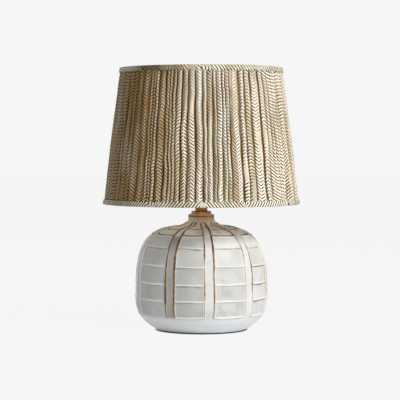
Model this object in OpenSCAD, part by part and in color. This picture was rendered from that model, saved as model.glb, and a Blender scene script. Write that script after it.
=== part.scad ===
// Table lamp: hollow ceramic base with raised loops and ribs, brass neck, lampholder and gathered shade.
// The origin is at the centre of the underside of the foot, +Z is up and the front is towards -Y.

/* [Ceramic base] */
// Largest diameter of the body
body_d = 243; // [220:1:270]
// Diameter of the foot where it stands on the felt
foot_d = 166; // [130:1:190]
// Diameter of the neck
neck_d = 48; // [44:1:64]
// Height of the rim of the neck above the table
rim_z = 213.2; // [208:0.2:235]
// Height of the widest place above the table
belly_z = 61; // [55:1:85]
// Height at which the shoulder curve closes
shoulder_z = 191.5; // [185:0.5:205]
// Thickness of the ceramic wall
wall_t = 7; // [5:0.5:9]
// Diameter of the hole through the neck
neck_hole_d = 30; // [26:1:34]
// Diameter of the opening in the floor of the body
floor_hole_d = 60; // [40:1:80]
// Height of the recess under the floor
recess_h = 14; // [13:0.5:18]
// Width of the foot ring
foot_ring_w = 8; // [6:0.5:12]
// Width of the fillet between shoulder and neck
neck_fillet_w = 26; // [8:1:30]
// Height of the fillet between shoulder and neck
neck_fillet_h = 14; // [6:0.5:16]

/* [Relief] */
// Number of vertical loops around the body
loop_count = 10; // [6:1:12]
// Angle between a loop's two ridges, in degrees
loop_angle = 8; // [6:1:12]
// Width of a ridge, in degrees
ridge_angle = 1.3; // [0.8:0.1:2]
// How far ridges and ribs stand proud
relief_h = 1.2; // [0.8:0.1:1.5]
// Radius at which a loop closes near the neck
loop_top_r = 40; // [37:1:46]
// Height of the lowest rib
lowest_rib_z = 32; // [28:1:42]

/* [Fixing] */
// Outer diameter of the threaded rod
rod_d = 10; // [8:0.5:12]
// Bore of the threaded rod
rod_bore_d = 7; // [5:0.5:7.5]
// Thickness of the felt pad
felt_t = 2; // [1.5:0.5:3]
// Diameter of the clamp plate
plate_d = 92; // [86:1:110]
// Thickness of the clamp plate
plate_t = 2; // [1:0.5:2.5]
// Thickness of the spring washer
spring_t = 1.6; // [1:0.1:2]
// Thickness of the nut
nut_t = 5; // [4:0.5:6]
// Width of the nut across its corners
nut_d = 19; // [17:0.5:22]
// Outer diameter of the cord bush
bush_d = 9; // [8:0.5:10]
// Bore of the cord bush
bush_bore_d = 7; // [5:0.5:7]

/* [Neck] */
// Diameter of the brass cap
cap_d = 37; // [34:1:42]
// Height of the brass cap above the rim
cap_h = 5.3; // [3:0.1:6]
// Diameter of the brass collar
collar_d = 22.6; // [20:0.2:26]
// Height of the brass collar
collar_h = 17.5; // [12:0.5:20]
// Wall of the brass collar
collar_wall = 1.2; // [0.8:0.1:2]

/* [Lampholder] */
// Largest diameter of the cup
cup_d = 42; // [40:1:46]
// Height of the cup
cup_h = 20; // [19:0.5:26]
// Wall of the cup and the skirt
holder_wall = 1.6; // [1.2:0.1:2]
// Diameter of the threaded part of the skirt
skirt_d = 39.2; // [38.8:0.1:39.6]
// Height of the plain part of the skirt, up to the shoulder
skirt_base_h = 9; // [8:0.5:12]
// Height of the threaded part of the skirt
skirt_thread_h = 27; // [22:1:32]
// Diameter of the shoulder that carries the shade
shoulder_d = 47; // [46:0.5:50]
// Thickness of the shoulder
shoulder_t = 2; // [1.5:0.5:3]
// Inner diameter of the screw shell
shell_d = 26.8; // [26.6:0.1:27.4]
// Thickness of the screw shell
shell_t = 0.5; // [0.4:0.1:0.8]
// Length of the switch bar
bar_l = 56; // [54:1:62]
// Diameter of the switch bar
bar_d = 4.4; // [3.6:0.2:5]
// Travel of the switch bar
bar_travel = 6; // [3:0.5:6]

/* [Shade] */
// Diameter over the folds just above the bottom binding
shade_bottom_d = 356.6; // [300:1:400]
// Diameter over the folds just below the top binding
shade_top_d = 299; // [200:1:360]
// Height of the shade
shade_h = 250; // [200:1:280]
// Height of the lower edge of the shade above the table
shade_z = 232; // [222:1:240]
// How far the sides bulge at half height
shade_bulge = 1.5; // [0:0.1:3]
// Number of gathered folds
fold_count = 75; // [40:1:80]
// Depth of a fold
fold_depth = 4.2; // [3:0.1:5]
// Diameter of the frame rings' wire
ring_wire_d = 3.4; // [3:0.1:4]
// Diameter of the wire of the struts and arms
strut_wire_d = 3; // [2.5:0.1:3.4]
// Number of struts
strut_count = 6; // [3:3:12]
// Number of fitter arms
arm_count = 3; // [3:3:3]
// Thickness of the lining
lining_t = 0.8; // [0.6:0.1:1.2]
// Height of the bindings
binding_h = 9; // [7:0.5:12]
// Thickness of the tape of the bindings
tape_t = 0.8; // [0.6:0.1:1.2]
// Thickness of the fitter ring
fitter_t = 2; // [1.5:0.5:3]
// Diameter of the fitter ring
fitter_d = 54; // [52:1:60]
// Diameter of the threaded shade ring
nut_ring_d = 50; // [48:1:54]
// Height of the threaded shade ring
nut_ring_h = 7; // [5:0.5:10]
// Thickness of the washer under the fitter
washer_t = 1; // [0.6:0.1:1.5]

/* [Bulb] */
// Diameter of the candle bulb
bulb_d = 35; // [32:1:37]
// Height of the bulb's glass
bulb_h = 74; // [65:1:80]
// Diameter of the bulb's screw cap
bulb_cap_d = 26.3; // [26:0.1:26.4]
// Height of the bulb's screw cap
bulb_cap_h = 24; // [22:0.5:26]

/* [Hidden] */

// Clearances and the overrun of cuts
seat_gap = 0.2;
fixed_gap = 0.15;
slide_gap = 0.08;
cloth_gap = 0.3;
over = 1;

// Body outline: a power curve from the foot to the belly and a superellipse from there to the neck
foot_curve_power = 2.8;
shoulder_power = 3.3;
shoulder_core_share = 0.115;
lower_steps = 10;
upper_steps = 18;
fillet_steps = 7;
rim_round = 2;
rim_steps = 4;
body_r = body_d / 2;
foot_r = foot_d / 2;
neck_r = neck_d / 2;
core_r = body_r * shoulder_core_share;
upper_h = shoulder_z - belly_z;
floor_z = felt_t + recess_h + wall_t;
recess_z = felt_t + recess_h;
recess_r = foot_r - foot_ring_w;

// Radius of the lower outline at height z, drawn in by inset
function lower_r(z, inset) =
    foot_r - inset + (body_r - foot_r) * (1 - pow((belly_z - z) / (belly_z - felt_t), foot_curve_power));

// Point of the upper outline at angle a, drawn in by inset
function upper_point(a, inset, core) = [
    core + (body_r - inset - core) * pow(cos(a), 2 / shoulder_power),
    belly_z + (upper_h - inset) * pow(sin(a), 2 / shoulder_power)
];

// Angle at which the upper outline has radius r, and the radius that it has at height z
function upper_angle(r, inset) = acos(pow((r - core_r) / (body_r - inset - core_r), shoulder_power / 2));
function upper_r(z, inset) =
    core_r + (body_r - inset - core_r)
    * pow(1 - pow((z - belly_z) / (upper_h - inset), shoulder_power), 1 / shoulder_power);
function outline_r(z, inset) = z < belly_z ? lower_r(z, inset) : upper_r(z, inset);

function lower_points(from_z, inset, steps) = [
    for (i = [0 : steps - 1])
        let (z = from_z + (belly_z - from_z) * i / steps)
        [lower_r(z, inset), z]
];
function upper_points(to_a, inset, core, steps) = [
    for (i = [0 : steps])
        upper_point(to_a * i / steps, inset, core)
];
function reversed(list) = [for (i = [len(list) - 1 : -1 : 0]) list[i]];

neck_a = upper_angle(neck_r + neck_fillet_w, 0);
neck_foot_z = upper_point(neck_a, 0, core_r)[1];
fillet_points = [
    for (i = [1 : fillet_steps])
        let (a = 90 * i / fillet_steps)
        [neck_r + neck_fillet_w * (1 - sin(a)), neck_foot_z + neck_fillet_h * (1 - cos(a))]
];
rim_points = [
    for (i = [0 : rim_steps])
        let (a = 90 * i / rim_steps)
        [neck_r - rim_round * (1 - cos(a)), rim_z - rim_round * (1 - sin(a))]
];

// Relief: ribs lie at shares of the height from the lowest rib to the closed loops
rib_height_shares = [0, 0.185, 0.371, 0.575, 0.781, 0.901, 0.974];
loop_z = upper_r_height(loop_top_r);
function upper_r_height(r) = upper_point(upper_angle(r, 0), 0, core_r)[1];
rib_h_share = 0.8;
rib_r_share = 1.4;
sunk_share = 1.5;
ridge_end_share = 0.4;
rib_h = relief_h * rib_h_share;
rib_r = relief_h * rib_r_share;
rib_sides = 6;
sunk = relief_h * sunk_share;
ridge_low_z = lowest_rib_z - rib_r * ridge_end_share;
// Each loop's place, in degrees from the front, is spaced evenly and shifted as the hand-made body shows
first_loop = 7;
loop_wander = 2.5;
loop_wander_turn = 124;
loop_places = [
    for (i = [0 : loop_count - 1])
        first_loop + 360 * i / loop_count + loop_wander * sin(loop_wander_turn * i)
];

// Fixing stack under the floor
plate_z = recess_z - plate_t;
spring_z = plate_z - spring_t;
nut_z = spring_z - nut_t;
spring_w = 4;
spring_d = rod_d + 2 * spring_w;
spring_slit = spring_t;
rod_end_z = nut_z - over;
felt_margin = 3;
bush_z = felt_t + recess_h / 2;
bush_flange_w = 1.6;
bush_flange_d = bush_d + 2 * bush_flange_w;
bush_flange_t = 1.2;
bush_seat_y = recess_r + over;
bush_end_y = foot_r + seat_gap;

// Neck stack
cap_z = rim_z;
cap_round = 1.4;
spigot_h = cap_h;
collar_z = cap_z + cap_h;
holder_z = collar_z + collar_h;

// Lampholder stack
cup_r = cup_d / 2;
cup_entry_wall = 3.2;
cup_entry_d = rod_d + 2 * cup_entry_wall;
cup_entry_h = 7;
cup_curve_steps = 8;
cup_curve_share = 0.8;
skirt_z = holder_z + cup_h;
shoulder_top_z = skirt_z + skirt_base_h + shoulder_t;
skirt_top_z = shoulder_top_z + skirt_thread_h;
skirt_r = skirt_d / 2;
thread_pitch = 3;
thread_depth = 0.3;
thread_shares = [[1, 0], [0, 0.5]];
carrier_d = cup_d - 2 * holder_wall - 2 * fixed_gap;
carrier_t = skirt_base_h - holder_wall;
carrier_boss_h = holder_wall + shoulder_t;
carrier_boss_d = shell_d + 2 * shell_t;
shell_z = skirt_z + carrier_t + carrier_boss_h;
shell_h_share = 0.8;
shell_h = skirt_thread_h * shell_h_share;
contact_d = 8;
contact_t = 2;
contact_z = shell_z + shell_t;
terminal_w = 5;
terminal_h = 5;
terminal_y = cup_r / 2;
terminal_screw_d = 3;
terminal_screw_l = 3;
switch_w = 7.5;
switch_l = 12;
switch_h = 9;
bar_z = holder_z + cup_h - switch_h / 2;
bar_knob_w = 0.7;
bar_knob_d = bar_d + 2 * bar_knob_w;
bar_knob_t = 3;
grub_d = 3;
grub_z = holder_z + cup_entry_h / 2;

// Shade stack on the shoulder
washer_z = shoulder_top_z + seat_gap;
fitter_z = washer_z + washer_t + seat_gap;
nut_ring_z = fitter_z + fitter_t + seat_gap;
washer_d = shoulder_d;
fitter_gap = 0.5;
fitter_bore_d = skirt_d + 2 * fitter_gap;
nut_ring_bore_d = skirt_d + 2 * fixed_gap;
grip_count = 24;
grip_d = 2.4;

// Shade layers, counted inwards from the outside of the folds
cover_t = fold_depth + tape_t;
wire_in = cover_t + cloth_gap + ring_wire_d / 2;
lining_in = wire_in + ring_wire_d / 2 + cloth_gap;
inner_in = lining_in + lining_t;
edge_t = 1.2;
cover_bottom_z = shade_z + edge_t + seat_gap;
cover_top_z = shade_z + shade_h - edge_t - seat_gap;
ring_rise = ring_wire_d / 2 + seat_gap;
bottom_ring_z = cover_bottom_z + ring_rise;
top_ring_z = cover_top_z - ring_rise;
cover_h = cover_top_z - cover_bottom_z;
flare = 1.7;
level_count = 3;
// Angle of the first strut and arm, from +X
frame_turn = 15;
// A fold wanders sideways by these shares of its width, and its depth varies from fold to fold
fold_wander_share = 0.35;
fold_sway_share = 0.12;
fold_wander_turn = 97;
fold_sway_turn = 61;
fold_sway_rise = 200;
fold_depth_share = 0.12;
fold_depth_turn = 143;
fold_shape_shares = [[0, 0], [0.24, 0.92], [0.72, 1]];

// Radius over the folds at height z, without the bulge
function shade_r(z) =
    shade_bottom_d / 2 + (shade_top_d - shade_bottom_d) / 2 * (z - shade_z - binding_h) / (shade_h - 2 * binding_h);
function bulge(s) = shade_bulge * 4 * s * (1 - s);

// Bulb
bulb_z = contact_z + contact_t + seat_gap;
tip_h = 2.4;
tip_d = 9;
insulator_h = 4;
bulb_cap_z = bulb_z + tip_h + insulator_h;
glass_z = bulb_cap_z + bulb_cap_h;
glass_low_share = 0.38;
glass_tip_share = 0.06;
glass_tip_power = 1.1;
glass_t = 1;
glass_steps = 12;
glass_r = bulb_d / 2;
glass_foot_r = bulb_cap_d / 2 - seat_gap;
glass_low_h = bulb_h * glass_low_share;
glass_points = concat(
    [for (i = [0 : glass_steps])
        let (s = i / glass_steps)
        [glass_foot_r + (glass_r - glass_foot_r) * sin(90 * s), glass_z + glass_low_h * s]],
    [for (i = [1 : glass_steps])
        let (s = i / glass_steps)
        [glass_r * ((1 - glass_tip_share) * pow(cos(90 * s), glass_tip_power) + glass_tip_share * (1 - s)),
         glass_z + glass_low_h + (bulb_h - glass_low_h) * s]]
);

// One raised ridge of a loop, following the outline
module ridge() {
    top_a = upper_angle(loop_top_r, 0);
    outer = concat(lower_points(ridge_low_z, -relief_h, lower_steps / 2),
        upper_points(top_a, -relief_h, core_r, upper_steps));
    inner = concat(lower_points(ridge_low_z, sunk, lower_steps / 2),
        upper_points(top_a, sunk, core_r, upper_steps));
    rotate([0, 0, -ridge_angle / 2])
        rotate_extrude(angle = ridge_angle, $fn = 180)
            polygon(concat(outer, reversed(inner)));
}

// The short bar that closes a loop near the neck
module loop_crown() {
    rotate([0, 0, -loop_angle / 2])
        rotate_extrude(angle = loop_angle, $fn = 180)
            translate([loop_top_r, upper_r_height(loop_top_r)])
                circle(r = rib_r, $fn = rib_sides);
}

// One horizontal rib, across the panel between two loops
module rib(z, from_a, to_a) {
    rotate([0, 0, from_a])
        rotate_extrude(angle = to_a - from_a, $fn = 180)
            translate([outline_r(z, 0) + rib_h - rib_r, z])
                circle(r = rib_r, $fn = rib_sides);
}

module ceramic_body() {
    color("whitesmoke")
    union() {
        difference() {
            rotate_extrude($fn = 180)
                polygon(concat(
                    lower_points(felt_t, 0, lower_steps),
                    upper_points(neck_a, 0, core_r, upper_steps),
                    fillet_points,
                    rim_points,
                    [[neck_hole_d / 2, rim_z]],
                    reversed(upper_points(90, wall_t, neck_hole_d / 2, upper_steps)),
                    reversed(lower_points(floor_z, wall_t, lower_steps / 2)),
                    [[floor_hole_d / 2, floor_z], [floor_hole_d / 2, recess_z],
                     [recess_r, recess_z], [recess_r, felt_t]]
                ));
            translate([0, recess_r - wall_t, bush_z])
                rotate([-90, 0, 0])
                    cylinder(d = bush_d + 2 * fixed_gap, h = body_r - recess_r + wall_t, $fn = 48);
            translate([0, recess_r - wall_t, bush_z])
                rotate([-90, 0, 0])
                    cylinder(d = bush_flange_d + 2 * fixed_gap, h = bush_seat_y - recess_r + wall_t, $fn = 48);
        }
        for (i = [0 : loop_count - 1]) {
            rotate([0, 0, loop_places[i] - 90]) {
                rotate([0, 0, -loop_angle / 2])
                    ridge();
                rotate([0, 0, loop_angle / 2])
                    ridge();
                loop_crown();
            }
            next_place = i == loop_count - 1 ? loop_places[0] + 360 : loop_places[i + 1];
            for (share = rib_height_shares)
                rib(lowest_rib_z + (loop_z - lowest_rib_z) * share,
                    loop_places[i] - 90 + loop_angle / 2,
                    next_place - 90 - loop_angle / 2);
        }
    }
}

module felt_pad() {
    color("darkolivegreen")
        cylinder(d = foot_d - 2 * felt_margin, h = felt_t, $fn = 120);
}

module clamp_plate() {
    color("silver")
    difference() {
        translate([0, 0, plate_z])
            cylinder(d = plate_d, h = plate_t, $fn = 96);
        translate([0, 0, plate_z - over])
            cylinder(d = rod_d + 2 * fixed_gap, h = plate_t + 2 * over, $fn = 48);
    }
}

module spring_washer() {
    color("gray")
    difference() {
        translate([0, 0, spring_z])
            cylinder(d = spring_d, h = spring_t, $fn = 60);
        translate([0, 0, spring_z - over])
            cylinder(d = rod_d + 2 * fixed_gap, h = spring_t + 2 * over, $fn = 48);
        translate([0, -spring_slit / 2, spring_z - over])
            cube([spring_d, spring_slit, spring_t + 2 * over]);
    }
}

module clamp_nut() {
    color("silver")
    difference() {
        translate([0, 0, nut_z])
            cylinder(d = nut_d, h = nut_t, $fn = 6);
        translate([0, 0, nut_z - over])
            cylinder(d = rod_d + 2 * fixed_gap, h = nut_t + 2 * over, $fn = 48);
    }
}

module threaded_rod() {
    color("lightgray")
    difference() {
        translate([0, 0, rod_end_z])
            cylinder(d = rod_d, h = holder_z + cup_entry_h - rod_end_z, $fn = 48);
        translate([0, 0, rod_end_z - over])
            cylinder(d = rod_bore_d, h = holder_z + cup_entry_h - rod_end_z + 2 * over, $fn = 48);
    }
}

module cord_bush() {
    color("ivory")
    translate([0, bush_seat_y, bush_z])
        rotate([-90, 0, 0])
            difference() {
                union() {
                    cylinder(d = bush_d, h = bush_end_y - bush_seat_y, $fn = 48);
                    translate([0, 0, -bush_flange_t])
                        cylinder(d = bush_flange_d, h = bush_flange_t, $fn = 48);
                }
                translate([0, 0, -bush_flange_t - over])
                    cylinder(d = bush_bore_d, h = bush_end_y - bush_seat_y + bush_flange_t + 2 * over, $fn = 48);
            }
}

module neck_cap() {
    bore_r = rod_d / 2 + fixed_gap;
    spigot_r = neck_hole_d / 2 - fixed_gap;
    color("peru")
    rotate_extrude($fn = 96)
        polygon(concat(
            [[bore_r, cap_z - spigot_h], [spigot_r, cap_z - spigot_h], [spigot_r, cap_z], [cap_d / 2, cap_z]],
            [for (i = [0 : rim_steps])
                let (a = 90 * i / rim_steps)
                [cap_d / 2 - cap_round * (1 - cos(a)), cap_z + cap_h - cap_round * (1 - sin(a))]],
            [[bore_r, cap_z + cap_h]]
        ));
}

module neck_collar() {
    color("peru")
    difference() {
        translate([0, 0, collar_z])
            cylinder(d = collar_d, h = collar_h, $fn = 72);
        translate([0, 0, collar_z - over])
            cylinder(d = collar_d - 2 * collar_wall, h = collar_h + 2 * over, $fn = 72);
    }
}

// Half section of the cup's wall, from the collar up to the skirt
function cup_curve(inset) = [
    for (i = [0 : cup_curve_steps])
        let (a = 90 * i / cup_curve_steps, low_r = collar_d / 2)
        [low_r + (cup_r - inset - low_r) * sin(a), holder_z + inset + (cup_h * cup_curve_share - inset) * (1 - cos(a))]
];

module lampholder_cup() {
    entry_r = cup_entry_d / 2;
    bore_r = rod_d / 2 + fixed_gap;
    color("peru")
    difference() {
        rotate_extrude($fn = 96)
            polygon(concat(
                [[bore_r, holder_z]],
                cup_curve(0),
                [[cup_r, holder_z + cup_h], [cup_r - holder_wall, holder_z + cup_h]],
                reversed(cup_curve(holder_wall)),
                [[entry_r, holder_z + holder_wall], [entry_r, holder_z + cup_entry_h],
                 [bore_r, holder_z + cup_entry_h]]
            ));
        translate([-cup_d / 2 - over, 0, bar_z])
            rotate([0, 90, 0])
                cylinder(d = bar_d + 2 * slide_gap, h = cup_d + 2 * over, $fn = 48);
        translate([0, 0, grub_z])
            rotate([90, 0, 0])
                cylinder(d = grub_d + 2 * fixed_gap, h = cup_r, $fn = 36);
    }
}

module cup_screw() {
    color("dimgray")
    translate([0, -rod_d / 2 - fixed_gap, grub_z])
        rotate([90, 0, 0])
            cylinder(d = grub_d, h = cup_entry_d / 2 - rod_d / 2, $fn = 36);
}

module lampholder_skirt() {
    low_r = cup_r;
    ridges = floor(skirt_thread_h / thread_pitch);
    color("peru")
    rotate_extrude($fn = 96)
        polygon(concat(
            [[low_r - holder_wall, skirt_z], [low_r, skirt_z], [low_r, skirt_z + skirt_base_h],
             [shoulder_d / 2, skirt_z + skirt_base_h], [shoulder_d / 2, shoulder_top_z]],
            [for (i = [0 : ridges - 1])
                for (p = thread_shares)
                    [skirt_r - thread_depth * p[0], shoulder_top_z + (i + p[1]) * thread_pitch]],
            [[skirt_r - thread_depth, skirt_top_z], [skirt_r - thread_depth - holder_wall, skirt_top_z],
             [skirt_r - thread_depth - holder_wall, skirt_z + skirt_base_h - holder_wall],
             [low_r - holder_wall, skirt_z + skirt_base_h - holder_wall]]
        ));
}

module contact_carrier() {
    color("ivory")
    union() {
        translate([0, 0, skirt_z])
            cylinder(d = carrier_d, h = carrier_t, $fn = 96);
        translate([0, 0, skirt_z])
            cylinder(d = carrier_boss_d, h = carrier_t + carrier_boss_h, $fn = 96);
    }
}

module screw_shell() {
    color("goldenrod")
    difference() {
        translate([0, 0, shell_z])
            cylinder(d = shell_d + 2 * shell_t, h = shell_h, $fn = 96);
        translate([0, 0, shell_z + shell_t])
            cylinder(d = shell_d, h = shell_h, $fn = 96);
        translate([0, 0, shell_z - over])
            cylinder(d = contact_d + 2 * over, h = shell_t + 2 * over, $fn = 48);
    }
}

module centre_contact() {
    color("goldenrod")
    translate([0, 0, shell_z])
        cylinder(d = contact_d, h = shell_t + contact_t, $fn = 48);
}

module terminals() {
    color("goldenrod")
    for (side = [-1, 1])
        translate([-terminal_w / 2, side * terminal_y - terminal_w / 2, skirt_z - terminal_h])
            cube([terminal_w, terminal_w, terminal_h]);
}

module terminal_screws() {
    color("silver")
    for (side = [-1, 1])
        translate([terminal_w / 2, side * terminal_y, skirt_z - terminal_h / 2])
            rotate([0, 90, 0])
                cylinder(d = terminal_screw_d, h = terminal_screw_l, $fn = 36);
}

module switch_block() {
    color("dimgray")
    difference() {
        translate([-switch_l / 2, -switch_w / 2, skirt_z - switch_h])
            cube([switch_l, switch_w, switch_h]);
        translate([-switch_l / 2 - over, 0, bar_z])
            rotate([0, 90, 0])
                cylinder(d = bar_d + 2 * slide_gap, h = switch_l + 2 * over, $fn = 48);
    }
}

module switch_bar() {
    color("goldenrod")
    translate([-bar_l / 2 - bar_travel / 2, 0, bar_z])
        rotate([0, 90, 0]) {
            cylinder(d = bar_d, h = bar_l, $fn = 48);
            cylinder(d = bar_knob_d, h = bar_knob_t, $fn = 48);
            translate([0, 0, bar_l - bar_knob_t])
                cylinder(d = bar_knob_d, h = bar_knob_t, $fn = 48);
        }
}

module shade_washer() {
    color("peru")
    difference() {
        translate([0, 0, washer_z])
            cylinder(d = washer_d, h = washer_t, $fn = 96);
        translate([0, 0, washer_z - over])
            cylinder(d = fitter_bore_d, h = washer_t + 2 * over, $fn = 96);
    }
}

module shade_ring() {
    color("peru")
    difference() {
        translate([0, 0, nut_ring_z])
            cylinder(d = nut_ring_d, h = nut_ring_h, $fn = 96);
        translate([0, 0, nut_ring_z - over])
            cylinder(d = nut_ring_bore_d, h = nut_ring_h + 2 * over, $fn = 96);
        for (i = [0 : grip_count - 1])
            rotate([0, 0, 360 * i / grip_count])
                translate([nut_ring_d / 2 + grip_d / 4, 0, nut_ring_z - over])
                    cylinder(d = grip_d, h = nut_ring_h + 2 * over, $fn = 24);
    }
}

// Radius of the frame's wires at height z
function wire_r(z) = shade_r(z) - wire_in;
arm_z = fitter_z + fitter_t / 2;

module fitter() {
    arm_start_r = nut_ring_d / 2 + seat_gap;
    arm_end_r = wire_r(arm_z) - strut_wire_d / 2 - seat_gap;
    color("silver")
    difference() {
        union() {
            translate([0, 0, fitter_z])
                cylinder(d = fitter_d, h = fitter_t, $fn = 96);
            for (i = [0 : arm_count - 1])
                rotate([0, 0, 360 * i / arm_count + frame_turn])
                    translate([arm_start_r, 0, arm_z])
                        rotate([0, 90, 0])
                            cylinder(d = strut_wire_d, h = arm_end_r - arm_start_r, $fn = 36);
        }
        translate([0, 0, fitter_z - over])
            cylinder(d = fitter_bore_d, h = fitter_t + 2 * over, $fn = 96);
    }
}

// A ring of round wire
module wire_ring(r, z, d) {
    rotate_extrude($fn = 144)
        translate([r, z])
            circle(d = d, $fn = 32);
}

module shade_top_ring() {
    color("silver")
        wire_ring(wire_r(top_ring_z), top_ring_z, ring_wire_d);
}

module shade_bottom_ring() {
    color("silver")
        wire_ring(wire_r(bottom_ring_z), bottom_ring_z, ring_wire_d);
}

module shade_struts() {
    rise = top_ring_z - bottom_ring_z;
    run = wire_r(bottom_ring_z) - wire_r(top_ring_z);
    lean = atan(run / rise);
    inset = ring_wire_d / 2 + seat_gap;
    color("silver")
    for (i = [0 : strut_count - 1])
        rotate([0, 0, 360 * i / strut_count + frame_turn])
            translate([wire_r(bottom_ring_z), 0, bottom_ring_z])
                rotate([0, -lean, 0])
                    translate([0, 0, inset])
                        cylinder(d = strut_wire_d, h = norm([rise, run]) - 2 * inset, $fn = 36);
}

module shade_lining() {
    low = cover_bottom_z;
    high = cover_top_z;
    color("linen")
    difference() {
        rotate_extrude($fn = 180)
            polygon([
                [shade_r(low) - lining_in, low], [shade_r(high) - lining_in, high],
                [shade_r(high) - inner_in, high], [shade_r(low) - inner_in, low]
            ]);
        for (i = [0 : arm_count - 1])
            rotate([0, 0, 360 * i / arm_count + frame_turn])
                translate([wire_r(arm_z) / 2, 0, arm_z])
                    rotate([0, 90, 0])
                        cylinder(d = strut_wire_d + 2 * cloth_gap, h = wire_r(arm_z) / 2 + over, $fn = 36);
    }
}

// Gathered cover: each fold has a narrow valley and a broad crown, and wanders a little up the shade
fold_a = 360 / fold_count;
function fold_swing(i, s) =
    fold_a * (fold_wander_share * sin(i * fold_wander_turn) * (s - 0.5)
    + fold_sway_share * sin(i * fold_sway_turn + s * fold_sway_rise));
function fold_reach(i, share) = fold_depth * (share - 1) * (1 + fold_depth_share * sin(i * fold_depth_turn));
function outer_point(i, k, s) =
    let (
        z = cover_bottom_z + cover_h * s,
        shape = fold_shape_shares[k],
        a = fold_a * (i + shape[0]) + fold_swing(i + (k > 1 ? 1 : 0), s),
        r = shade_r(z) + bulge(s) + fold_reach(i, shape[1])
    )
    [r * cos(a), r * sin(a), z];
function inner_point(i, s) =
    let (z = cover_bottom_z + cover_h * s, r = shade_r(z) - cover_t, a = fold_a * i)
    [r * cos(a), r * sin(a), z];

module shade_cover() {
    fold_points = len(fold_shape_shares);
    row = fold_count * fold_points;
    rows = level_count + 1;
    first_inner = row * rows;
    points = concat(
        [for (level = [0 : level_count]) for (i = [0 : fold_count - 1]) for (k = [0 : fold_points - 1])
            outer_point(i, k, level / level_count)],
        [for (s = [0, 1]) for (i = [0 : fold_count - 1])
            inner_point(i, s)]
    );
    faces = concat(
        [for (level = [0 : level_count - 1]) for (c = [0 : row - 1])
            let (a = level * row + c, b = level * row + (c + 1) % row)
            each [[a, a + row, b], [b, a + row, b + row]]],
        [for (i = [0 : fold_count - 1])
            let (a = first_inner + i, b = first_inner + (i + 1) % fold_count)
            each [[a, b, a + fold_count], [b, b + fold_count, a + fold_count]]],
        [for (i = [0 : fold_count - 1])
            let (v = i * fold_points, next = (v + fold_points) % row,
                a = first_inner + i, b = first_inner + (i + 1) % fold_count)
            each [[v, v + 1, a], [v + 1, v + 2, a], [v + 2, next, b], [v + 2, b, a]]],
        [for (i = [0 : fold_count - 1])
            let (top = level_count * row, v = top + i * fold_points, next = top + (i * fold_points + fold_points) % row,
                a = first_inner + fold_count + i, b = first_inner + fold_count + (i + 1) % fold_count)
            each [[v, a, v + 1], [v + 1, a, v + 2], [v + 2, b, next], [v + 2, a, b]]]
    );
    color("tan")
        polyhedron(points = points, faces = faces, convexity = 6);
}

// Folded tape over the edge at edge_z: side is 1 at the bottom and -1 at the top, and lip is how far it stands out
module binding(edge_z, side, lip) {
    web_z = edge_z + side * edge_t;
    open_z = edge_z + side * binding_h;
    color("burlywood")
    rotate_extrude($fn = 180)
        polygon([
            [shade_r(open_z) + cloth_gap, open_z],
            [shade_r(open_z) + cloth_gap + tape_t, open_z],
            [shade_r(edge_z) + cloth_gap + tape_t + lip, edge_z + side * edge_t],
            [shade_r(edge_z) + cloth_gap + lip - edge_t / 2, edge_z],
            [shade_r(edge_z) - inner_in, edge_z],
            [shade_r(edge_z) - inner_in - cloth_gap - tape_t, edge_z + side * edge_t],
            [shade_r(open_z) - inner_in - cloth_gap - tape_t, open_z],
            [shade_r(open_z) - inner_in - cloth_gap, open_z],
            [shade_r(web_z) - inner_in - cloth_gap, web_z],
            [shade_r(web_z) + cloth_gap, web_z]
        ]);
}

module top_binding() {
    binding(shade_z + shade_h, -1, 0);
}

module bottom_binding() {
    binding(shade_z, 1, flare - tape_t);
}

module bulb_glass() {
    color("white")
    rotate_extrude($fn = 96)
        polygon(concat([[0, glass_z]], glass_points));
}

module bulb_cap() {
    color("silver")
    translate([0, 0, bulb_cap_z])
        cylinder(d = bulb_cap_d, h = bulb_cap_h, $fn = 96);
}

module bulb_insulator() {
    color("black")
    translate([0, 0, bulb_z + tip_h])
        cylinder(d1 = tip_d, d2 = bulb_cap_d, h = insulator_h, $fn = 96);
}

module bulb_contact() {
    color("silver")
    translate([0, 0, bulb_z])
        cylinder(d = tip_d, h = tip_h, $fn = 48);
}

ceramic_body();
felt_pad();
clamp_plate();
spring_washer();
clamp_nut();
threaded_rod();
cord_bush();
neck_cap();
neck_collar();
lampholder_cup();
cup_screw();
lampholder_skirt();
contact_carrier();
screw_shell();
centre_contact();
terminals();
terminal_screws();
switch_block();
switch_bar();
shade_washer();
shade_ring();
fitter();
shade_top_ring();
shade_bottom_ring();
shade_struts();
shade_lining();
shade_cover();
top_binding();
bottom_binding();
bulb_glass();
bulb_cap();
bulb_insulator();
bulb_contact();
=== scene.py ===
"""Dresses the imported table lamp: glazed body, antique brass, gathered shade and soft studio light."""
import math

import bpy
import numpy as np
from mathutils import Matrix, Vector


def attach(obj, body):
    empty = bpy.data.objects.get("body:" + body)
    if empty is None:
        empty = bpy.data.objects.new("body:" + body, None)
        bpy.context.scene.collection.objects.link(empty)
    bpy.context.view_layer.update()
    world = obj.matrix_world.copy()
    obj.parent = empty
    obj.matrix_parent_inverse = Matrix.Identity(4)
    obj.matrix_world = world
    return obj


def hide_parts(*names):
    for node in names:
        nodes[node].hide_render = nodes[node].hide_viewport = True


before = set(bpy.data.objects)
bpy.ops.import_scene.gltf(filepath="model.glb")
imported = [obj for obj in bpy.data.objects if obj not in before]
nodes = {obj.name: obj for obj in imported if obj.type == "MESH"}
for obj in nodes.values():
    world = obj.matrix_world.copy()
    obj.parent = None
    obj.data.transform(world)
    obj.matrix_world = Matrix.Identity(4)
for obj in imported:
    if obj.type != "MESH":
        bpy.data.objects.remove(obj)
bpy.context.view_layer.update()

# Shapes are worked out in mm and scaled as their mesh is made. Materials, lights and camera are in metres.
MM = 0.001
TAU = 2 * math.pi

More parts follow.
